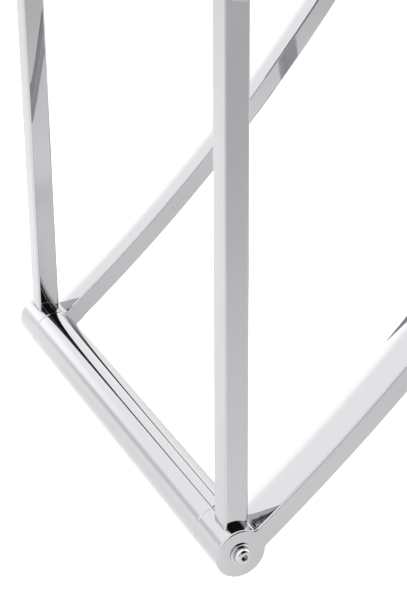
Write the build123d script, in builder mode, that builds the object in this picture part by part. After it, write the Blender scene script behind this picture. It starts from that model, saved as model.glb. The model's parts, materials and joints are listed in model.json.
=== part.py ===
"""Valet stand: two welded side frames joined by bolted cross tubes, with a seat, hanger and tray.

Frame: millimetres, +Z up, +Y towards the back, +X to the right of someone facing the front.
The origin is on the floor, at the centre of the stand's outline.
"""
from build123d import *
from math import atan2, cos, degrees, hypot, radians, sin, sqrt
import os

os.makedirs("parts", exist_ok=True)

# Cross tubes and the hubs that close them
frame_width = 434
tube_d = 40
tube_wall = 2
hub_length = 39
hub_end_wall = 6
seam_chamfer = 0.5
seam_round = 1.2
plug_clearance = 0.05
plug_length = 70

# Square posts, legs and rails
post_size = 19
post_wall = 1.5
post_corner = 2
post_bow = 0.22
post_inset = 8

# Curved flat bar: one circle from the front foot to the top
bar_width = 37
bar_thickness = 17
bar_wall = 1.5
bar_crown = 1.3
bar_corner = 1.6
arc_radius = 1503
arc_centre_back = 922
arc_centre_up = 1183
lug_length = 9
lug_fillet_top = 5
lug_fillet_bottom = 1.5

# Heights above the floor, and the rear foot
pad_height = 3
seat_axis_z = 460
top_axis_z = 1000
rear_foot_back = 450
trouser_bar_z = 860

# Foot pads
pad_d = 24
pad_rim_z = 6.5
pad_edge = 1
pad_stem_d = 5
pad_stem_hole_depth = 4
pad_stem_gap = 0.2

# Fasteners of the tubes: M8 button heads on washers
screw_d = 7.9
screw_hole_d = 8
screw_clear_d = 8.6
end_screw_length = 22
bar_screw_length = 55
screw_head_d = 14
screw_head_height = 4.4
screw_head_rim = 0.7
screw_head_flat_d = 9
screw_head_dome = 0.8
socket_flats = 5
socket_depth = 2.6
washer_d = 18
washer_thickness = 1.6
washer_edge = 0.5

# Seat
tab_length = 40
tab_reach = 26
tab_thickness = 3
tab_corner = 5
board_thickness = 12
board_corner = 6
cushion_thickness = 38
cushion_corner = 12
cushion_edge = 9
seat_gap = 3
seat_screw_d = 4.9
seat_screw_hole_d = 5
seat_screw_clear_d = 5.5
seat_screw_head_d = 9
seat_screw_head_height = 2
seat_screw_bite = 9

# Trouser bar
trouser_bar_d = 16
trouser_bar_hole_depth = 22
sleeve_d = 21
sleeve_length = 300
sleeve_edge = 1.5

# Jacket hanger
stem_d = 20
collar_d = 30
collar_height = 8
hanger_z = 1096
hanger_half_length = 212

# Tray
tray_width = 230
tray_depth = 120
tray_height = 22
tray_wall = 2
tray_corner = 14
tray_base_edge = 3
tray_plate_width = 110
tray_plate_front = 25
tray_plate_rear = 4
tray_plate_corner = 8
tray_plate_thickness = 4
tray_plate_z = 1140
tray_gap = 0.3
lining_thickness = 3
lining_gap = 0.3
lining_edge = 1
lining_skin = 1
peg_spacing = 76
peg_d = 6
peg_height = 3.6
peg_clearance = 0.4

# Worked-out positions
hub_radius = tube_d / 2
half_width = frame_width / 2
hub_inner_x = half_width - hub_length
bar_inner_x = half_width - bar_width
bar_x = half_width - bar_width / 2
post_x = half_width - post_inset - post_size / 2
base_axis_z = pad_height + hub_radius
arc_centre_z = base_axis_z + arc_centre_up
lug_sweep = degrees((hub_radius + lug_length) / arc_radius)


def arc_run(z):
    """Distance of the arc's centreline behind the front hubs' axis, at a height."""
    return sqrt(arc_radius**2 - (arc_centre_z - z) ** 2) - arc_centre_back


overall_depth = arc_run(top_axis_z) + tube_d
front_y = hub_radius - overall_depth / 2
arc_centre = (front_y - arc_centre_back, arc_centre_z)
front_foot = (front_y, base_axis_z)
rear_foot = (front_y + rear_foot_back, base_axis_z)
seat_front = (front_y, seat_axis_z)
seat_rear = (front_y + arc_run(seat_axis_z), seat_axis_z)
top = (front_y + arc_run(top_axis_z), top_axis_z)
trouser_axis = (front_y + arc_run(trouser_bar_z), trouser_bar_z)
hub_axes = [front_foot, rear_foot, seat_front, seat_rear, top]


def side_plane(x):
    """Plane across the stand at x, whose own x is +Y and whose own y is +Z."""
    return Plane(origin=(x, 0, 0), x_dir=(0, 1, 0), z_dir=(1, 0, 0))


def from_axis(point, axis):
    """Distance of a point from an axis along X that is given as (y, z)."""
    return hypot(point.Y - axis[0], point.Z - axis[1])


def arc_angle(axis):
    """Angle of a (y, z) point about the arc's centre, in degrees."""
    return degrees(atan2(axis[1] - arc_centre[1], axis[0] - arc_centre[0]))


def arc_section(angle):
    """Plane across the flat bar: x outward from the arc's centre, y across the stand."""
    outward = Vector(0, cos(radians(angle)), sin(radians(angle)))
    middle = Vector(bar_x, *arc_centre) + outward * arc_radius
    return Plane(origin=middle, x_dir=outward, z_dir=outward.cross(Vector(1, 0, 0)))


def bowed_outline(width, depth, bow_width, bow_depth, corner=0):
    """Rectangle, width along x, whose long or short sides bow outwards."""
    x, y = width / 2, depth / 2
    sides = [
        ((-x, -y), (0, -y - bow_width), (x, -y)),
        ((x, -y), (x + bow_depth, 0), (x, y)),
        ((x, y), (0, y + bow_width), (-x, y)),
        ((-x, y), (-x - bow_depth, 0), (-x, -y)),
    ]
    with BuildSketch() as outline:
        with BuildLine():
            for (start, middle, end), bow in zip(sides, (bow_width, bow_depth) * 2):
                if bow:
                    ThreePointArc(start, middle, end)
                else:
                    Line(start, end)
        make_face()
        if corner:
            fillet(outline.vertices(), corner)
    return outline.sketch


def save(part, name):
    part.label = name
    export_step(part, f"parts/{name}.step")


def save_pair(right, name):
    """Write the right-hand part and its mirror image."""
    with BuildPart() as left:
        mirror(right, about=Plane.YZ)
    save(right, f"{name}_right")
    save(left.part, f"{name}_left")


# ---------------------------------------------------------------- hubs
def root_edges(part, axis, outside):
    """Edges where the hub's round side meets the flat bar's stubs, on one side of the arc."""
    on_hub = part.edges().filter_by(lambda e: all(abs(from_axis(e @ t, axis) - hub_radius) < 0.01 for t in (0, 0.5, 1)))
    across = on_hub.filter_by(lambda e: e.bounding_box().min.X > bar_inner_x - 0.01 and e.bounding_box().size.X > 1)
    return across.filter_by(lambda e: (from_axis(e @ 0.5, arc_centre) > arc_radius) == outside)


def hub(axis, directions=(), fillet_inside=0, pad_hole=False):
    """Socketed hub: closed outside end, open inside end, and a stub for each arc."""
    with BuildPart() as part:
        with BuildSketch(side_plane(hub_inner_x)):
            with Locations(axis):
                Circle(hub_radius)
        extrude(amount=hub_length)
        for direction in directions:
            start = arc_angle(axis) + min(direction, 0) * lug_sweep
            with BuildSketch(arc_section(start)):
                add(bowed_outline(bar_thickness, bar_width, 0, bar_crown))
            revolve(axis=Axis((0, *arc_centre), (1, 0, 0)), revolution_arc=lug_sweep)
        if directions:
            fillet(root_edges(part, axis, outside=False), fillet_inside)
            fillet(root_edges(part, axis, outside=True), lug_fillet_bottom)
        outer_face = part.faces().filter_by(Axis.X).sort_by(Axis.X)[-1]
        lug_ends = outer_face.edges().filter_by(lambda e: abs(e.length - bar_thickness) < 0.01)
        fillet(outer_face.edges() - lug_ends, bar_corner)
        inner_face = part.faces().filter_by(Axis.X).sort_by(Axis.X)[0]
        chamfer(inner_face.edges(), seam_chamfer)
        with BuildSketch(side_plane(hub_inner_x)):
            with Locations(axis):
                Circle(hub_radius - tube_wall)
        extrude(amount=hub_length - hub_end_wall, mode=Mode.SUBTRACT)
        with BuildSketch(side_plane(hub_inner_x)):
            with Locations(axis):
                Circle(screw_clear_d / 2)
        extrude(amount=hub_length, mode=Mode.SUBTRACT)
        if pad_hole:
            with BuildSketch(Plane.XY.offset(pad_height)):
                with Locations((post_x, axis[0])):
                    Circle(pad_stem_d / 2)
            extrude(amount=pad_stem_hole_depth, mode=Mode.SUBTRACT)
    return part.part


front_base_hub = hub(front_foot, [1], lug_fillet_top, pad_hole=True)
rear_base_hub = hub(rear_foot, pad_hole=True)
seat_front_hub = hub(seat_front)
seat_rear_hub = hub(seat_rear, [1, -1], lug_fillet_bottom)
top_hub = hub(top, [-1], lug_fillet_top)
save_pair(front_base_hub, "front_base_hub")
save_pair(rear_base_hub, "rear_base_hub")
save_pair(seat_front_hub, "seat_front_hub")
save_pair(seat_rear_hub, "seat_rear_hub")
save_pair(top_hub, "top_hub")


# ---------------------------------------------------------------- square posts, legs and rails
def square_bar(start, end, hubs, bow=0):
    """Square tube between two hub axes, its ends cut to sit on the hubs."""
    run = Vector(0, end[0] - start[0], end[1] - start[1])
    hollow = post_size - 2 * post_wall
    with BuildPart() as part:
        with BuildSketch(Plane(origin=(post_x, *start), x_dir=(1, 0, 0), z_dir=run)):
            add(bowed_outline(post_size, post_size, bow, bow, post_corner))
            add(bowed_outline(hollow, hollow, bow, bow, post_corner - post_wall), mode=Mode.SUBTRACT)
        extrude(amount=run.length)
        for axis in (start, end):
            with BuildSketch(side_plane(hub_inner_x)):
                with Locations(axis):
                    Circle(hub_radius)
            extrude(amount=hub_length, mode=Mode.SUBTRACT)
        for solid in hubs:
            add(solid, mode=Mode.SUBTRACT)
    return part.part


save_pair(square_bar(front_foot, seat_front, [front_base_hub, seat_front_hub], post_bow), "front_post")
save_pair(square_bar(rear_foot, seat_rear, [rear_base_hub, seat_rear_hub], post_bow), "rear_leg")
save_pair(square_bar(seat_front, seat_rear, [seat_front_hub, seat_rear_hub]), "seat_rail")


# ---------------------------------------------------------------- curved flat bars
def curved_bar(lower, upper, hole_axis=None):
    """Hollow flat bar along the arc, from one hub's lug to the next."""
    start = arc_angle(lower) + lug_sweep
    hollow_thickness = bar_thickness - 2 * bar_wall
    hollow_width = bar_width - 2 * bar_wall
    with BuildPart() as part:
        with BuildSketch(arc_section(start)):
            add(bowed_outline(bar_thickness, bar_width, 0, bar_crown, bar_corner))
            add(bowed_outline(hollow_thickness, hollow_width, 0, bar_crown), mode=Mode.SUBTRACT)
        sweep = arc_angle(upper) - lug_sweep - start
        revolve(axis=Axis((0, *arc_centre), (1, 0, 0)), revolution_arc=sweep)
        if hole_axis:
            with BuildSketch(side_plane(bar_inner_x)):
                with Locations(hole_axis):
                    Circle(screw_clear_d / 2)
            extrude(amount=bar_width, mode=Mode.SUBTRACT)
    return part.part


save_pair(curved_bar(front_foot, seat_rear), "lower_arc")
save_pair(curved_bar(seat_rear, top, hole_axis=trouser_axis), "upper_arc")


# ---------------------------------------------------------------- cross tubes and their end plugs
def cross_tube(axis):
    with BuildPart() as part:
        with BuildSketch(side_plane(-hub_inner_x)):
            with Locations(axis):
                Circle(hub_radius)
                Circle(hub_radius - tube_wall, mode=Mode.SUBTRACT)
        extrude(amount=2 * hub_inner_x)
        ends = part.edges().filter_by(GeomType.CIRCLE).filter_by(lambda e: abs(e.radius - hub_radius) < 0.01)
        fillet(ends, seam_round)
    return part.part


tube_names = ["front_base_tube", "rear_base_tube", "seat_front_tube", "seat_rear_tube", "top_tube"]
for tube_name, tube_axis in zip(tube_names, hub_axes):
    save(cross_tube(tube_axis), tube_name)

with BuildPart() as end_plugs:
    plug_end_x = half_width - hub_end_wall - tray_gap
    for axis in hub_axes:
        with BuildSketch(side_plane(plug_end_x - plug_length)):
            with Locations(axis):
                Circle(hub_radius - tube_wall - plug_clearance)
                Circle(screw_hole_d / 2, mode=Mode.SUBTRACT)
        extrude(amount=plug_length)
    mirror(about=Plane.YZ)
save(end_plugs.part, "end_plugs")


# ---------------------------------------------------------------- fasteners
def washer(outer_d):
    """Washer lying on the plane x = 0."""
    with BuildPart() as part:
        with BuildSketch(side_plane(0)):
            Circle(outer_d / 2)
            Circle(screw_clear_d / 2, mode=Mode.SUBTRACT)
        extrude(amount=washer_thickness)
        outer_face_rims = part.edges().group_by(Axis.X)[-1]
        fillet(outer_face_rims.sort_by(SortBy.LENGTH)[-1], washer_edge)
    return part.part


def button_screw(shank_length):
    """Button-head screw along X, its head's seat on the plane x = 0."""
    head_r = screw_head_d / 2
    flat_r = screw_head_flat_d / 2
    with BuildPart() as part:
        with BuildSketch(Plane.XY):
            with BuildLine():
                Line((-shank_length, 0), (-shank_length, screw_d / 2))
                Line((-shank_length, screw_d / 2), (0, screw_d / 2))
                Line((0, screw_d / 2), (0, head_r))
                Line((0, head_r), (screw_head_rim, head_r))
                SagittaArc((screw_head_rim, head_r), (screw_head_height, flat_r), screw_head_dome)
                Line((screw_head_height, flat_r), (screw_head_height, 0))
                Line((screw_head_height, 0), (-shank_length, 0))
            make_face()
        revolve(axis=Axis.X)
        with BuildSketch(side_plane(screw_head_height)):
            RegularPolygon(socket_flats / 2, 6, major_radius=False)
        extrude(amount=-socket_depth, mode=Mode.SUBTRACT)
    return part.part


def both_ends(item, axes, seat_x):
    """Copies of an item made about the X axis, on both ends of each cross member."""
    with BuildPart() as part:
        with Locations(*[(seat_x, *axis) for axis in axes]):
            add(item)
        mirror(about=Plane.YZ)
    return part.part


head_x = half_width + washer_thickness
save(both_ends(washer(washer_d), hub_axes, half_width), "end_washers")
save(both_ends(button_screw(end_screw_length), hub_axes, head_x), "end_screws")
save(both_ends(washer(washer_d), [trouser_axis], half_width), "trouser_bar_washers")
save(both_ends(button_screw(bar_screw_length), [trouser_axis], head_x), "trouser_bar_screws")


# ---------------------------------------------------------------- foot pads
def foot_pad(x, axis):
    """Soft round pad, hollowed on top to sit under a hub, with a stem that plugs into it."""
    with BuildPart() as part:
        with BuildSketch(Plane.XY):
            with Locations((x, axis[0])):
                Circle(pad_d / 2)
        extrude(amount=pad_rim_z)
        fillet(part.edges().filter_by(GeomType.CIRCLE), pad_edge)
        with BuildSketch(side_plane(x - pad_d)):
            with Locations(axis):
                Circle(hub_radius)
        extrude(amount=2 * pad_d, mode=Mode.SUBTRACT)
        with BuildSketch(Plane.XY.offset(pad_height / 2)):
            with Locations((x, axis[0])):
                Circle(pad_stem_d / 2 - plug_clearance)
        extrude(amount=pad_height / 2 + tube_wall - pad_stem_gap)
    return part.part


for place, axis in (("front", front_foot), ("rear", rear_foot)):
    save_pair(foot_pad(post_x, axis), f"foot_pad_{place}")


# ---------------------------------------------------------------- seat
rail_inner_x = post_x - post_size / 2
board_z = seat_axis_z - post_size / 2
board_half_width = rail_inner_x - seat_gap
seat_front_y = seat_front[0] + hub_radius + seat_gap
seat_rear_y = seat_rear[0] - hub_radius - seat_gap
seat_middle_y = (seat_front_y + seat_rear_y) / 2
seat_depth = seat_rear_y - seat_front_y
tab_ys = {"front": seat_front_y + tab_length, "rear": seat_rear_y - tab_length}
tab_screw_x = rail_inner_x - tab_reach / 2

for place, tab_y in tab_ys.items():
    with BuildPart() as seat_tab:
        with BuildSketch(Plane.XY.offset(board_z - tab_thickness)):
            with Locations(((rail_inner_x - tab_reach + post_x) / 2, tab_y)):
                RectangleRounded(post_x - rail_inner_x + tab_reach, tab_length, tab_corner)
            with Locations((tab_screw_x, tab_y)):
                Circle(seat_screw_clear_d / 2, mode=Mode.SUBTRACT)
        extrude(amount=tab_thickness)
    save_pair(seat_tab.part, f"seat_tab_{place}")

with BuildPart() as seat_board:
    with BuildSketch(Plane.XY.offset(board_z)):
        with Locations((0, seat_middle_y)):
            RectangleRounded(2 * board_half_width, seat_depth, board_corner)
        with Locations(*[(side * tab_screw_x, y) for side in (-1, 1) for y in tab_ys.values()]):
            Circle(seat_screw_hole_d / 2, mode=Mode.SUBTRACT)
    extrude(amount=board_thickness)
save(seat_board.part, "seat_board")

with BuildPart() as seat_cushion:
    with BuildSketch(Plane.XY.offset(board_z + board_thickness)):
        with Locations((0, seat_middle_y)):
            RectangleRounded(2 * board_half_width, seat_depth, cushion_corner)
    extrude(amount=cushion_thickness)
    fillet(seat_cushion.faces().sort_by(Axis.Z)[-1].edges(), cushion_edge)
save(seat_cushion.part, "seat_cushion")

tab_foot_z = board_z - tab_thickness
seat_screw_places = [(side * tab_screw_x, y) for side in (-1, 1) for y in tab_ys.values()]
with BuildPart() as seat_screws:
    with BuildSketch(Plane.XY.offset(tab_foot_z - seat_screw_head_height)):
        with Locations(*seat_screw_places):
            Circle(seat_screw_head_d / 2)
    extrude(amount=seat_screw_head_height)
    with BuildSketch(Plane.XY.offset(tab_foot_z)):
        with Locations(*seat_screw_places):
            Circle(seat_screw_d / 2)
    extrude(amount=tab_thickness + seat_screw_bite)
save(seat_screws.part, "seat_screws")


# ---------------------------------------------------------------- trouser bar
with BuildPart() as trouser_bar:
    with BuildSketch(side_plane(-bar_inner_x)):
        with Locations(trouser_axis):
            Circle(trouser_bar_d / 2)
    extrude(amount=2 * bar_inner_x)
    for end_x in (-bar_inner_x, bar_inner_x - trouser_bar_hole_depth):
        with BuildSketch(side_plane(end_x)):
            with Locations(trouser_axis):
                Circle(screw_hole_d / 2)
        extrude(amount=trouser_bar_hole_depth, mode=Mode.SUBTRACT)
save(trouser_bar.part, "trouser_bar")

with BuildPart() as trouser_bar_sleeve:
    with BuildSketch(side_plane(-sleeve_length / 2)):
        with Locations(trouser_axis):
            Circle(sleeve_d / 2)
    extrude(amount=sleeve_length)
    fillet(trouser_bar_sleeve.edges(), sleeve_edge)
    with BuildSketch(side_plane(-sleeve_length / 2)):
        with Locations(trouser_axis):
            Circle(trouser_bar_d / 2 + plug_clearance)
    extrude(amount=sleeve_length, mode=Mode.SUBTRACT)
save(trouser_bar_sleeve.part, "trouser_bar_sleeve")


# ---------------------------------------------------------------- stem, collar and jacket hanger
stem_y = top[0]
with BuildPart() as hanger_stem:
    with BuildSketch(Plane.XY.offset(top_axis_z)):
        with Locations((0, stem_y)):
            Circle(stem_d / 2)
    extrude(amount=tray_plate_z - top_axis_z)
    with BuildSketch(side_plane(-stem_d)):
        with Locations(top):
            Circle(hub_radius)
    extrude(amount=2 * stem_d, mode=Mode.SUBTRACT)
save(hanger_stem.part, "hanger_stem")

# Shoulder line: distance out, forward sweep, drop, depth and height of each section
hanger_sections = [
    (0, 0, 0, 34, 40),
    (60, 1, 5, 30, 34),
    (120, 8, 20, 34, 28),
    (175, 20, 36, 48, 26),
    (hanger_half_length - 8, 28, 45, 52, 24),
    (hanger_half_length, 29, 46, 40, 16),
]


with BuildPart() as jacket_hanger:
    for side in (-1, 1):
        for out, forward, drop, depth, height in hanger_sections:
            with BuildSketch(side_plane(side * out)):
                with Locations((stem_y - forward, hanger_z - drop)):
                    Ellipse(depth / 2, height / 2)
        loft()
    with BuildSketch(Plane.XY):
        with Locations((0, stem_y)):
            Circle(stem_d / 2 + plug_clearance)
    extrude(amount=tray_plate_z, mode=Mode.SUBTRACT)
save(jacket_hanger.part, "jacket_hanger")

hanger_foot_z = hanger_z - hanger_sections[0][4] / 2
with BuildPart() as hanger_collar:
    with BuildSketch(Plane.XY.offset(hanger_foot_z - collar_height)):
        with Locations((0, stem_y)):
            Circle(collar_d / 2)
            Circle(stem_d / 2 + plug_clearance, mode=Mode.SUBTRACT)
    extrude(amount=collar_height)
save(hanger_collar.part, "hanger_collar")


# ---------------------------------------------------------------- tray
tray_y = top[0] + hub_radius - tray_depth / 2
plate_front_y = tray_y - tray_plate_front
plate_rear_y = stem_y + stem_d / 2 + tray_plate_rear
tray_z = tray_plate_z + tray_plate_thickness + tray_gap
peg_places = [(side * peg_spacing / 2, tray_y) for side in (-1, 1)]

with BuildPart() as tray_plate:
    with BuildSketch(Plane.XY.offset(tray_plate_z)):
        with Locations((0, (plate_front_y + plate_rear_y) / 2)):
            RectangleRounded(tray_plate_width, plate_rear_y - plate_front_y, tray_plate_corner)
        with Locations(*peg_places):
            Circle(peg_d / 2, mode=Mode.SUBTRACT)
    extrude(amount=tray_plate_thickness)
save(tray_plate.part, "tray_plate")

with BuildPart() as tray_pegs:
    with BuildSketch(Plane.XY.offset(tray_plate_z)):
        with Locations(*peg_places):
            Circle(peg_d / 2)
    extrude(amount=tray_plate_thickness + peg_height)
save(tray_pegs.part, "tray_pegs")

with BuildPart() as tray_pan:
    with BuildSketch(Plane.XY.offset(tray_z)):
        with Locations((0, tray_y)):
            RectangleRounded(tray_width, tray_depth, tray_corner)
    extrude(amount=tray_height)
    fillet(tray_pan.faces().sort_by(Axis.Z)[0].edges(), tray_base_edge)
    with BuildSketch(Plane.XY.offset(tray_z + tray_wall)):
        with Locations((0, tray_y)):
            RectangleRounded(tray_width - 2 * tray_wall, tray_depth - 2 * tray_wall, tray_corner - tray_wall)
    extrude(amount=tray_height, mode=Mode.SUBTRACT)
    fillet(tray_pan.faces().sort_by(Axis.Z)[-1].edges(), tray_wall * 0.4)
    with BuildSketch(Plane.XY.offset(tray_z)):
        with Locations(*peg_places):
            Circle(peg_d / 2 + peg_clearance)
    extrude(amount=tray_wall, mode=Mode.SUBTRACT)
save(tray_pan.part, "tray_pan")

inner_width = tray_width - 2 * (tray_wall + lining_gap)
inner_depth = tray_depth - 2 * (tray_wall + lining_gap)
with BuildPart() as tray_lining:
    with BuildSketch(Plane.XY.offset(tray_z + tray_wall)):
        with Locations((0, tray_y)):
            RectangleRounded(inner_width, inner_depth, tray_corner - tray_wall - lining_gap)
    extrude(amount=lining_thickness)
    fillet(tray_lining.faces().sort_by(Axis.Z)[-1].edges(), lining_edge)
    with BuildSketch(Plane.XY.offset(tray_z + tray_wall)):
        with Locations(*peg_places):
            Circle(peg_d / 2 + peg_clearance)
    extrude(amount=lining_thickness - lining_skin, mode=Mode.SUBTRACT)
save(tray_lining.part, "tray_lining")
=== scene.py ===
"""Looks for the valet stand: materials, the seat pad and its trim, tray stitches, studio and camera."""
import json
import math
import bmesh
import bpy
from mathutils import Matrix, Quaternion, Vector
from mathutils.bvhtree import BVHTree


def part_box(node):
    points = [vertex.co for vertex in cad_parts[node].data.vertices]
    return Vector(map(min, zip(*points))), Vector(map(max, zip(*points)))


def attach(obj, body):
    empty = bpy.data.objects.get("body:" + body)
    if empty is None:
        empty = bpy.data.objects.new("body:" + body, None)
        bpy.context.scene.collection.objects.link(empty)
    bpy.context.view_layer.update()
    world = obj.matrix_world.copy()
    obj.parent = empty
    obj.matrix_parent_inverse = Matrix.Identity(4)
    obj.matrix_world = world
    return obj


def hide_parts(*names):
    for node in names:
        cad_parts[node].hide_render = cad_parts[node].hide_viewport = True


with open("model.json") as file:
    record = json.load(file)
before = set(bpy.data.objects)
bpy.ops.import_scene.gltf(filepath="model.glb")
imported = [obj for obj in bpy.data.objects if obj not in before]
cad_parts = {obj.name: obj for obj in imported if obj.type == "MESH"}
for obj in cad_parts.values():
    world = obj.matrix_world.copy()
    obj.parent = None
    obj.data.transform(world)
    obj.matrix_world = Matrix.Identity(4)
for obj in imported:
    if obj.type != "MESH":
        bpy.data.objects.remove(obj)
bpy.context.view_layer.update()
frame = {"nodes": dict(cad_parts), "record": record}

# Camera: where it stands from the end of the right-hand front hub, and how it looks
CAMERA_OFFSET = Vector((0.950, -0.462, 0.727))
CAMERA_AZIMUTH = 65.5
CAMERA_ELEVATION = 26.15
CAMERA_ROLL = 0.43
SENSOR = 36.0
LENS = 103.4


# ---------------------------------------------------------------- node helpers
def set_stops(ramp, stops):
    """Fills a colour ramp from (position, colour) pairs in rising order."""
    first, last = ramp.elements
    first.position, first.color = stops[0][0], (*stops[0][1], 1)
    last.position, last.color = stops[-1][0], (*stops[-1][1], 1)
    for position, color in stops[1:-1]:
        ramp.elements.new(position).color = (*color, 1)


class Shader:
    """A Principled material with short calls for adding texture nodes."""

    def __init__(self, name, color, metallic=0.0, roughness=0.5, **sockets):
        self.material = bpy.data.materials.new(name)
        self.material.use_nodes = True
        self.nodes = self.material.node_tree.nodes
        self.links = self.material.node_tree.links
        self.bsdf = self.nodes["Principled BSDF"]
        self.bsdf.inputs["Base Color"].default_value = (*color, 1)
        self.bsdf.inputs["Metallic"].default_value = metallic
        self.bsdf.inputs["Roughness"].default_value = roughness
        for socket, value in sockets.items():
            self.bsdf.inputs[socket.replace("_", " ")].default_value = value
        self.height = None

    def node(self, kind, **settings):
        made = self.nodes.new(kind)
        for key, value in settings.items():
            setattr(made, key, value)
        return made

    def coordinates(self, stretch=(1, 1, 1)):
        place = self.node("ShaderNodeTexCoord")
        mapping = self.node("ShaderNodeMapping")
        mapping.inputs["Scale"].default_value = stretch
        self.links.new(place.outputs["Object"], mapping.inputs["Vector"])
        return mapping.outputs["Vector"]

    def noise(self, scale, detail=3.0, stretch=(1, 1, 1), distortion=0.0):
        made = self.node("ShaderNodeTexNoise")
        made.inputs["Scale"].default_value = scale
        made.inputs["Detail"].default_value = detail
        made.inputs["Distortion"].default_value = distortion
        self.links.new(self.coordinates(stretch), made.inputs["Vector"])
        return made.outputs["Fac"]

    def cells(self, scale):
        made = self.node("ShaderNodeTexVoronoi", feature="DISTANCE_TO_EDGE")
        made.inputs["Scale"].default_value = scale
        self.links.new(self.coordinates(), made.inputs["Vector"])
        return made.outputs["Distance"]

    def spread(self, value, low, high, from_low=0.0, from_high=1.0):
        made = self.node("ShaderNodeMapRange")
        made.inputs["From Min"].default_value = from_low
        made.inputs["From Max"].default_value = from_high
        made.inputs["To Min"].default_value = low
        made.inputs["To Max"].default_value = high
        self.links.new(value, made.inputs["Value"])
        return made.outputs["Result"]

    def ramp(self, value, *stops):
        made = self.node("ShaderNodeValToRGB")
        set_stops(made.color_ramp, stops)
        self.links.new(value, made.inputs["Fac"])
        return made.outputs["Color"]

    def color(self, value):
        self.links.new(value, self.bsdf.inputs["Base Color"])

    def roughness(self, value):
        self.links.new(value, self.bsdf.inputs["Roughness"])

    def bump(self, value, depth, strength=1.0):
        """Adds relief of a real depth in metres on top of what the material already has."""
        made = self.node("ShaderNodeBump")
        made.inputs["Strength"].default_value = strength
        made.inputs["Distance"].default_value = depth
        self.links.new(value, made.inputs["Height"])
        if self.height:
            self.links.new(self.height, made.inputs["Normal"])
        self.height = made.outputs["Normal"]
        self.links.new(self.height, self.bsdf.inputs["Normal"])


# ---------------------------------------------------------------- materials
LEATHER_GRAIN = 620.0


def chrome():
    made = Shader("chrome", (0.468, 0.466, 0.482), metallic=1.0, roughness=0.03)
    made.roughness(made.spread(made.noise(45, 4), 0.015, 0.06, 0.3, 0.75))
    made.bump(made.noise(14, 1), 0.00004)
    made.bump(made.noise(900, 2, stretch=(1, 1, 0.1)), 0.0000006)
    return made.material


def screw_steel():
    made = Shader("screw_steel", (0.5, 0.5, 0.51), metallic=1.0, roughness=0.2)
    made.roughness(made.spread(made.noise(300, 4), 0.03, 0.09))
    made.bump(made.noise(1500, 3), 0.000002)
    return made.material


def plug_metal():
    made = Shader("plug_metal", (0.62, 0.62, 0.64), metallic=1.0, roughness=0.35)
    made.bump(made.noise(900, 2, stretch=(6, 1, 1)), 0.00003)
    return made.material


def pad_plastic():
    made = Shader(
        "pad_plastic", (0.83, 0.84, 0.85), roughness=0.35, Transmission_Weight=0.25,
        Subsurface_Weight=0.4, Subsurface_Scale=0.004, IOR=1.45,
    )
    made.roughness(made.spread(made.noise(400, 3), 0.28, 0.45))
    made.bump(made.noise(1200, 2), 0.00003)
    return made.material


def leather():
    made = Shader(
        "leather", (0.01, 0.0095, 0.0095), roughness=0.36, Coat_Weight=0.05, Coat_Roughness=0.3,
        Specular_IOR_Level=0.32,
    )
    tone = made.noise(9, 4)
    made.color(made.ramp(tone, (0.3, (0.006, 0.0055, 0.0055)), (0.75, (0.016, 0.015, 0.0145))))
    made.roughness(made.spread(made.noise(160, 5), 0.27, 0.46, 0.3, 0.7))
    made.bump(made.noise(28, 4, distortion=0.6), 0.0007, 0.5)
    made.bump(made.spread(made.cells(LEATHER_GRAIN), 0, 1, 0, 0.16), 0.0003, 0.9)
    made.bump(made.noise(LEATHER_GRAIN * 4, 2), 0.00003, 0.6)
    return made.material


def thread():
    made = Shader("thread", (0.09, 0.086, 0.082), roughness=0.6, Sheen_Weight=0.3)
    made.bump(made.noise(3500, 2, stretch=(1, 1, 3)), 0.0001)
    return made.material


def walnut():
    made = Shader("walnut", (0.12, 0.06, 0.03), roughness=0.3, Coat_Weight=0.35, Coat_Roughness=0.18)
    grain = made.noise(26, 8, stretch=(1, 7, 7), distortion=1.2)
    made.color(made.ramp(
        grain,
        (0.3, (0.035, 0.015, 0.008)),
        (0.48, (0.11, 0.052, 0.026)),
        (0.6, (0.07, 0.031, 0.015)),
        (0.75, (0.16, 0.082, 0.042)),
    ))
    pores = made.noise(420, 3, stretch=(0.06, 1, 1))
    made.roughness(made.spread(pores, 0.24, 0.42, 0.35, 0.65))
    made.bump(made.spread(pores, 0, 1, 0.35, 0.5), 0.00006, 0.7)
    return made.material


def black_board():
    made = Shader("black_board", (0.03, 0.027, 0.024), roughness=0.55)
    plies = made.node("ShaderNodeTexWave", wave_type="BANDS", bands_direction="Z")
    plies.inputs["Scale"].default_value = 140
    plies.inputs["Distortion"].default_value = 1.5
    made.links.new(made.coordinates(), plies.inputs["Vector"])
    made.color(made.ramp(plies.outputs["Fac"], (0.2, (0.016, 0.014, 0.013)), (0.8, (0.04, 0.035, 0.03))))
    made.bump(made.noise(60, 6, stretch=(1, 8, 8)), 0.0002)
    return made.material


def grip_rubber():
    made = Shader("grip_rubber", (0.022, 0.022, 0.022), roughness=0.7, Sheen_Weight=0.25)
    made.color(made.ramp(made.noise(30, 4), (0.3, (0.016, 0.016, 0.016)), (0.7, (0.03, 0.03, 0.03))))
    made.bump(made.noise(2200, 3), 0.00012, 0.8)
    return made.material


MAKERS = {
    "chrome": chrome,
    "screw_steel": screw_steel,
    "plug_metal": plug_metal,
    "pad_plastic": pad_plastic,
    "seat_leather": leather,
    "board_wood": black_board,
    "grip_rubber": grip_rubber,
    "hanger_wood": walnut,
}
MATERIALS = {slot: make() for slot, make in MAKERS.items()}


def dress_cad_nodes():
    """Every CAD node gets the finish of its own material slot."""
    for row in frame["record"]["subparts"]:
        node = frame["nodes"][row["node"]]
        for place in node.material_slots:
            place.material = MATERIALS[row["material_slot"]]


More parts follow.
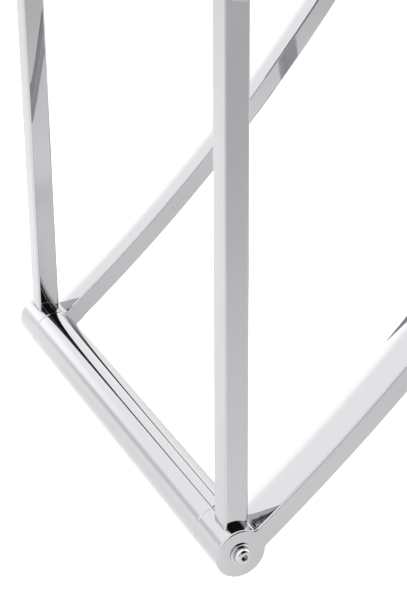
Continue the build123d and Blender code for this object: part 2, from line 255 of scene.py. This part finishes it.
# ---------------------------------------------------------------- mesh helpers
def mesh_object(name, bm, material, smooth=True):
    mesh = bpy.data.meshes.new(name)
    bm.normal_update()
    bm.to_mesh(mesh)
    bm.free()
    mesh.materials.append(material)
    for face in mesh.polygons:
        face.use_smooth = smooth
    made = bpy.data.objects.new(name, mesh)
    bpy.context.scene.collection.objects.link(made)
    return made


def rounded_rectangle(half_x, half_y, radius, per_corner, per_side):
    """Points and outward directions round a rounded rectangle, a set number of them on each part."""
    points = []
    corners = ((1, 1, 0), (-1, 1, 90), (-1, -1, 180), (1, -1, 270))
    for index, (sx, sy, angle) in enumerate(corners):
        centre = Vector((sx * (half_x - radius), sy * (half_y - radius)))
        for i in range(per_corner + 1):
            a = math.radians(angle + 90 * i / per_corner)
            out = Vector((math.cos(a), math.sin(a)))
            points.append((centre + out * radius, out))
        after_sx, after_sy, _ = corners[(index + 1) % 4]
        after = Vector((after_sx * (half_x - radius), after_sy * (half_y - radius)))
        start, out = points[-1]
        end = after + out * radius
        for i in range(1, per_side):
            points.append((start.lerp(end, i / per_side), out))
    return points


def tube_along(name, path, radius, material, sides=10):
    """Closed tube through a loop of points."""
    bm = bmesh.new()
    rings = []
    count = len(path)
    for i, point in enumerate(path):
        along = (path[(i + 1) % count] - path[i - 1]).normalized()
        across = along.cross(Vector((0, 0, 1))).normalized()
        up = across.cross(along)
        ring = []
        for k in range(sides):
            a = 2 * math.pi * k / sides
            ring.append(bm.verts.new(point + (across * math.cos(a) + up * math.sin(a)) * radius))
        rings.append(ring)
    for i in range(count):
        here, there = rings[i], rings[(i + 1) % count]
        for k in range(sides):
            bm.faces.new((here[k], here[(k + 1) % sides], there[(k + 1) % sides], there[k]))
    bmesh.ops.recalc_face_normals(bm, faces=bm.faces)
    return mesh_object(name, bm, material)


def stitches_along(name, path, pitch, length, width, material):
    """Row of separate stitches on a loop of (point, surface normal) pairs."""
    bm = bmesh.new()
    travelled = 0.0
    count = len(path)
    for i in range(count):
        point, normal = path[i]
        after = path[(i + 1) % count][0]
        travelled += (after - point).length
        if travelled < pitch:
            continue
        travelled -= pitch
        along = (after - point).normalized()
        across = normal.cross(along).normalized()
        turn = Matrix((along, across, normal)).transposed().to_4x4()
        shape = Matrix.Diagonal((length / 2, width / 2, width / 2.6, 1))
        place = Matrix.Translation(point + normal * width * 0.12)
        bmesh.ops.create_uvsphere(bm, u_segments=8, v_segments=6, radius=1, matrix=place @ turn @ shape)
    return mesh_object(name, bm, material)


# ---------------------------------------------------------------- seat cushion
CUSHION_INSET = 0.004
CUSHION_EDGE_RADIUS = 0.014
CUSHION_VOXEL = 0.005
CUSHION_CAP = 0.007
CROWN_HEIGHT = 0.009
PIPING_RADIUS = 0.0026
PIPING_DROP = 0.009
# The seam of the seat: inset from the cushion's room, corner radius, pitch, and size of a stitch
STITCH_INSET = 0.023
STITCH_CORNER = 0.014
STITCH_PITCH, STITCH_LENGTH, STITCH_WIDTH = 0.0042, 0.003, 0.0011


def cushion_blank(low, high):
    """Flat-topped block with rounded edges, a little smaller than the room it has."""
    half_x = (high.x - low.x) / 2 - CUSHION_INSET
    half_y = (high.y - low.y) / 2 - CUSHION_INSET
    centre = (low + high) / 2
    top = high.z - CROWN_HEIGHT
    profile = [(0.010, low.z), (0.003, low.z + 0.002), (0.0, low.z + 0.007), (0.0, top - 0.012)]
    profile += [
        (CUSHION_EDGE_RADIUS * (1 - math.cos(a)), top - 0.012 + 0.012 * math.sin(a))
        for a in [math.radians(15 * i) for i in range(1, 7)]
    ]
    bm = bmesh.new()
    loops = []
    for inset, z in profile:
        outline = rounded_rectangle(half_x - inset, half_y - inset, 0.016, 4, 24)
        loops.append([bm.verts.new((centre.x + p.x, centre.y + p.y, z)) for p, _ in outline])
    for lower, upper in zip(loops, loops[1:]):
        for i in range(len(lower)):
            j = (i + 1) % len(lower)
            bm.faces.new((lower[i], lower[j], upper[j], upper[i]))
    bm.faces.new(list(reversed(loops[0])))
    bm.faces.new(loops[-1])
    return mesh_object("seat_pad", bm, MATERIALS["seat_leather"])


def apply_modifiers(piece):
    graph = bpy.context.evaluated_depsgraph_get()
    mesh = bpy.data.meshes.new_from_object(piece.evaluated_get(graph))
    piece.modifiers.clear()
    piece.data = mesh


def inflate(piece, low, high):
    """Cloth simulation under pressure, held at the base, with each point's travel capped."""
    before = [v.co.copy() for v in piece.data.vertices]
    pinned = piece.vertex_groups.new(name="pinned")
    base = [i for i, co in enumerate(before) if co.z < low.z + 0.006]
    pinned.add(base, 1.0, "REPLACE")
    cloth = piece.modifiers.new("cloth", "CLOTH")
    cloth.settings.effector_weights.gravity = 0
    cloth.settings.use_pressure = True
    cloth.settings.uniform_pressure_force = 4
    cloth.settings.tension_stiffness = 25
    cloth.settings.compression_stiffness = 25
    cloth.settings.bending_stiffness = 2.0
    cloth.settings.vertex_group_mass = "pinned"
    cloth.point_cache.frame_start = 1
    cloth.point_cache.frame_end = 20
    for number in range(1, 21):
        bpy.context.scene.frame_set(number)
    graph = bpy.context.evaluated_depsgraph_get()
    swollen = piece.evaluated_get(graph).to_mesh()
    after = [v.co.copy() for v in swollen.vertices]
    piece.evaluated_get(graph).to_mesh_clear()
    piece.modifiers.clear()
    bpy.context.scene.frame_set(1)
    for vertex, old, new in zip(piece.data.vertices, before, after):
        move = new - old
        if move.length > CUSHION_CAP:
            move.length = CUSHION_CAP
        place = old + move
        place.z = max(place.z, low.z + 0.0003)
        vertex.co = place


def crown(piece, low, high):
    """Foam stands proud in the middle of the top, falling away towards all four edges."""
    centre = (low + high) / 2
    half_x = (high.x - low.x) / 2
    half_y = (high.y - low.y) / 2
    for vertex in piece.data.vertices:
        up = min(max((vertex.co.z - low.z) / (high.z - low.z), 0), 1)
        across = min(abs(vertex.co.x - centre.x) / half_x, 1)
        deep = min(abs(vertex.co.y - centre.y) / half_y, 1)
        dome = math.cos(across * math.pi / 2) ** 0.7 * math.cos(deep * math.pi / 2) ** 0.7
        vertex.co.z += CROWN_HEIGHT * up**2 * dome


def seat_pad():
    low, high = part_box("seat_cushion")
    piece = cushion_blank(low, high)
    remesh = piece.modifiers.new("remesh", "REMESH")
    remesh.mode = "VOXEL"
    remesh.voxel_size = CUSHION_VOXEL
    apply_modifiers(piece)
    inflate(piece, low, high)
    crown(piece, low, high)
    smooth = piece.modifiers.new("smooth", "SMOOTH")
    smooth.factor = 0.5
    smooth.iterations = 3
    finer = piece.modifiers.new("finer", "SUBSURF")
    finer.levels = finer.render_levels = 1
    apply_modifiers(piece)
    piece.data.materials.clear()
    piece.data.materials.append(MATERIALS["seat_leather"])
    for face in piece.data.polygons:
        face.use_smooth = True
    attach(piece, "stand")
    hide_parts("seat_cushion")
    return piece


def seat_trim(pad):
    """Piping round the top edge, and a row of stitches inside it."""
    low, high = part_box("seat_cushion")
    centre = (low + high) / 2
    half_x = (high.x - low.x) / 2
    half_y = (high.y - low.y) / 2
    surface = BVHTree.FromObject(pad, bpy.context.evaluated_depsgraph_get())
    piping = []
    edge_z = high.z - CROWN_HEIGHT - PIPING_DROP
    for place, out in rounded_rectangle(half_x + 0.02, half_y + 0.02, 0.036, 10, 60):
        start = Vector((centre.x + place.x, centre.y + place.y, edge_z))
        inward = -Vector((out.x, out.y, 0))
        hit, _, _, _ = surface.ray_cast(start, inward, 0.08)
        if hit:
            piping.append(hit - inward * PIPING_RADIUS * 0.35)
    cord = tube_along("seat_piping", piping, PIPING_RADIUS, MATERIALS["seat_leather"])
    rows = []
    seam_line = rounded_rectangle(half_x - STITCH_INSET, half_y - STITCH_INSET, STITCH_CORNER, 20, 300)
    for place, _ in seam_line:
        start = Vector((centre.x + place.x, centre.y + place.y, high.z + 0.05))
        hit, normal, _, _ = surface.ray_cast(start, Vector((0, 0, -1)), 0.2)
        if hit:
            rows.append((hit, normal))
    seam = stitches_along("seat_stitches", rows, STITCH_PITCH, STITCH_LENGTH, STITCH_WIDTH, THREAD)
    for piece in (cord, seam):
        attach(piece, "stand")


# ---------------------------------------------------------------- tray lining
LINING_STITCH_INSET = 0.006
LINING_STITCH_CORNER = 0.007
LINING_STITCH_PITCH, LINING_STITCH_LENGTH, LINING_STITCH_WIDTH = 0.0038, 0.0027, 0.0008


def lining_stitches():
    """Row of stitches round the tray's leather lining."""
    low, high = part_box("tray_lining")
    centre = (low + high) / 2
    half_x = (high.x - low.x) / 2 - LINING_STITCH_INSET
    half_y = (high.y - low.y) / 2 - LINING_STITCH_INSET
    up = Vector((0, 0, 1))
    rows = [
        (Vector((centre.x + place.x, centre.y + place.y, high.z)), up)
        for place, _ in rounded_rectangle(half_x, half_y, LINING_STITCH_CORNER, 12, 200)
    ]
    size = (LINING_STITCH_PITCH, LINING_STITCH_LENGTH, LINING_STITCH_WIDTH)
    seam = stitches_along("tray_stitches", rows, *size, THREAD)
    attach(seam, "tray")


# ---------------------------------------------------------------- studio
FLOOR_HALF = 60.0
FLOOR_SHADE = (0.56, 0.56, 0.56)
# Even glow of the floor as it is seen, and its glow in reflections against distance along +X, which is
# painted light: a pool of light round the stand that falls off along +X
FLOOR_PLAIN_GLOW = 0.75
FLOOR_PAINTED_GLOW = (
    (-1.1, 0.35), (-0.5, 0.48), (0.0, 0.53), (0.3, 0.5),
    (0.44, 0.39), (0.76, 0.15), (0.98, 0.06), (1.32, 0.02),
)
# Painted pool of light on the floor in front of the feet: how much more it glows, and where that starts
# and ends along Y
FRONT_PAINTED_GLOW, FRONT_START, FRONT_END = 0.2, -0.24, -0.31
BACKDROP = (1.0, 1.0, 1.0)
# Tent brightness near the horizon and above, and the height of direction where it turns
TENT_LOW, TENT_HIGH, TENT_TURN = 1.4, 1.62, (0.1, 0.36)
# Lamp behind the tent on the -X side, and a grey gap beside it: direction, width, strength
TENT_LAMP = ((-0.948, -0.249, 0.2), (0.94, 0.99), 0.58)
TENT_GAP = ((-0.79, -0.585, 0.174), (0.985, 1.0), -0.25)
# Dark opening of the tent on the +X side, above the horizon
TENT_OPENING = ((0.83, 0.2, 0.52), (0.84, 0.93), -0.98)
# Share of the tent's light against the direction's X: a seam overhead, and a dimmer +X side
TENT_SHARE = (
    (-0.38, 1.0), (-0.3, 0.1), (-0.2, 0.1), (-0.12, 1.35), (0.42, 1.35), (0.56, 0.6),
)


class Field:
    """Math nodes that shape brightness over direction or place."""

    def __init__(self, tree):
        self.nodes, self.links = tree.nodes, tree.links

    def math(self, operation, *values):
        made = self.nodes.new("ShaderNodeMath")
        made.operation = operation
        for socket, value in zip(made.inputs, values):
            if isinstance(value, (int, float)):
                socket.default_value = value
            else:
                self.links.new(value, socket)
        return made.outputs[0]

    def step(self, value, start, end, low, high):
        made = self.nodes.new("ShaderNodeMapRange")
        made.interpolation_type = "SMOOTHSTEP"
        for name, number in zip(("From Min", "From Max", "To Min", "To Max"), (start, end, low, high)):
            made.inputs[name].default_value = number
        self.links.new(value, made.inputs["Value"])
        return made.outputs["Result"]

    def ramp(self, value, start, end, stops):
        spread = self.nodes.new("ShaderNodeMapRange")
        spread.inputs["From Min"].default_value = start
        spread.inputs["From Max"].default_value = end
        self.links.new(value, spread.inputs["Value"])
        made = self.nodes.new("ShaderNodeValToRGB")
        set_stops(made.color_ramp, [((at - start) / (end - start), (part,) * 3) for at, part in stops])
        self.links.new(spread.outputs["Result"], made.inputs["Fac"])
        return made.outputs["Color"]

    def towards(self, vector, direction):
        made = self.nodes.new("ShaderNodeVectorMath")
        made.operation = "DOT_PRODUCT"
        self.links.new(vector, made.inputs[0])
        made.inputs[1].default_value = direction
        return made.outputs["Value"]


def world_studio():
    """White tent with a dark opening on the +X side. The camera itself sees a plain pale backdrop."""
    world = bpy.data.worlds.new("studio")
    bpy.context.scene.world = world
    world.use_nodes = True
    nodes, links = world.node_tree.nodes, world.node_tree.links
    nodes.clear()
    field = Field(world.node_tree)
    way = nodes.new("ShaderNodeTexCoord").outputs["Generated"]
    split = nodes.new("ShaderNodeSeparateXYZ")
    links.new(way, split.inputs["Vector"])
    tent = field.step(split.outputs["Z"], *TENT_TURN, TENT_LOW, TENT_HIGH)
    direction, width, strength = TENT_LAMP
    tent = field.math("ADD", tent, field.step(field.towards(way, direction), *width, 0, strength))
    for direction, width, strength in (TENT_GAP, TENT_OPENING):
        share = field.step(field.towards(way, direction), *width, 1, 1 + strength)
        tent = field.math("MULTIPLY", tent, share)
    tent = field.math("MULTIPLY", tent, field.ramp(split.outputs["X"], -1, 1, TENT_SHARE))
    studio = nodes.new("ShaderNodeBackground")
    studio.inputs["Color"].default_value = (1, 1, 1, 1)
    links.new(tent, studio.inputs["Strength"])
    backdrop = nodes.new("ShaderNodeBackground")
    backdrop.inputs["Color"].default_value = (*BACKDROP, 1)
    path = nodes.new("ShaderNodeLightPath")
    mix = nodes.new("ShaderNodeMixShader")
    out = nodes.new("ShaderNodeOutputWorld")
    links.new(path.outputs["Is Camera Ray"], mix.inputs["Fac"])
    links.new(studio.outputs[0], mix.inputs[1])
    links.new(backdrop.outputs[0], mix.inputs[2])
    links.new(mix.outputs[0], out.inputs["Surface"])


def floor():
    """Plain pale sheet as the camera sees it. Its glow in reflections is painted light: a pool round the
    stand that falls off along +X, brighter in front of the feet.
    """
    bm = bmesh.new()
    corners = [(-1, -1), (1, -1), (1, 1), (-1, 1)]
    bm.faces.new([bm.verts.new((x * FLOOR_HALF, y * FLOOR_HALF, 0)) for x, y in corners])
    made = Shader("floor", FLOOR_SHADE, roughness=0.9, Specular_IOR_Level=0.1)
    field = Field(made.material.node_tree)
    split = made.node("ShaderNodeSeparateXYZ")
    made.links.new(made.node("ShaderNodeTexCoord").outputs["Object"], split.inputs["Vector"])
    # Painted light seen only in reflections: a pool round the stand that falls off along +X
    glow = field.ramp(split.outputs["X"], FLOOR_PAINTED_GLOW[0][0], FLOOR_PAINTED_GLOW[-1][0], FLOOR_PAINTED_GLOW)
    # Painted pool of light in front of the feet, seen only in reflections
    front = field.step(split.outputs["Y"], FRONT_START, FRONT_END, 0, FRONT_PAINTED_GLOW)
    reflected = field.math("ADD", glow, front)
    seen = made.node("ShaderNodeLightPath").outputs["Is Camera Ray"]
    reflected = field.math("MULTIPLY", reflected, field.math("SUBTRACT", 1, seen))
    strength = field.math("ADD", reflected, field.math("MULTIPLY", seen, FLOOR_PLAIN_GLOW))
    made.links.new(strength, made.bsdf.inputs["Emission Strength"])
    made.bsdf.inputs["Emission Color"].default_value = (1, 1, 1, 1)
    sheet = mesh_object("studio_floor", bm, made.material, smooth=False)


def camera():
    hub_low, hub_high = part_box("front_base_hub_right")
    tube_low, tube_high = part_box("front_base_tube")
    tube_axis = (tube_low + tube_high) / 2
    hub_end = Vector((hub_high.x, tube_axis.y, tube_axis.z))
    data = bpy.data.cameras.new("camera")
    data.sensor_width = SENSOR
    data.lens = LENS
    data.clip_start = 0.05
    data.clip_end = 200
    made = bpy.data.objects.new("camera", data)
    bpy.context.scene.collection.objects.link(made)
    azimuth, elevation = math.radians(CAMERA_AZIMUTH), math.radians(CAMERA_ELEVATION)
    look = -Vector((
        math.sin(azimuth) * math.cos(elevation),
        -math.cos(azimuth) * math.cos(elevation),
        math.sin(elevation),
    ))
    made.location = hub_end + CAMERA_OFFSET
    made.rotation_mode = "QUATERNION"
    level = look.to_track_quat("-Z", "Y")
    made.rotation_quaternion = Quaternion(look, math.radians(CAMERA_ROLL)) @ level
    bpy.context.scene.camera = made


THREAD = thread()
bpy.context.scene.view_settings.view_transform = "Standard"
camera()
world_studio()
floor()
dress_cad_nodes()
seat_trim(seat_pad())
lining_stitches()
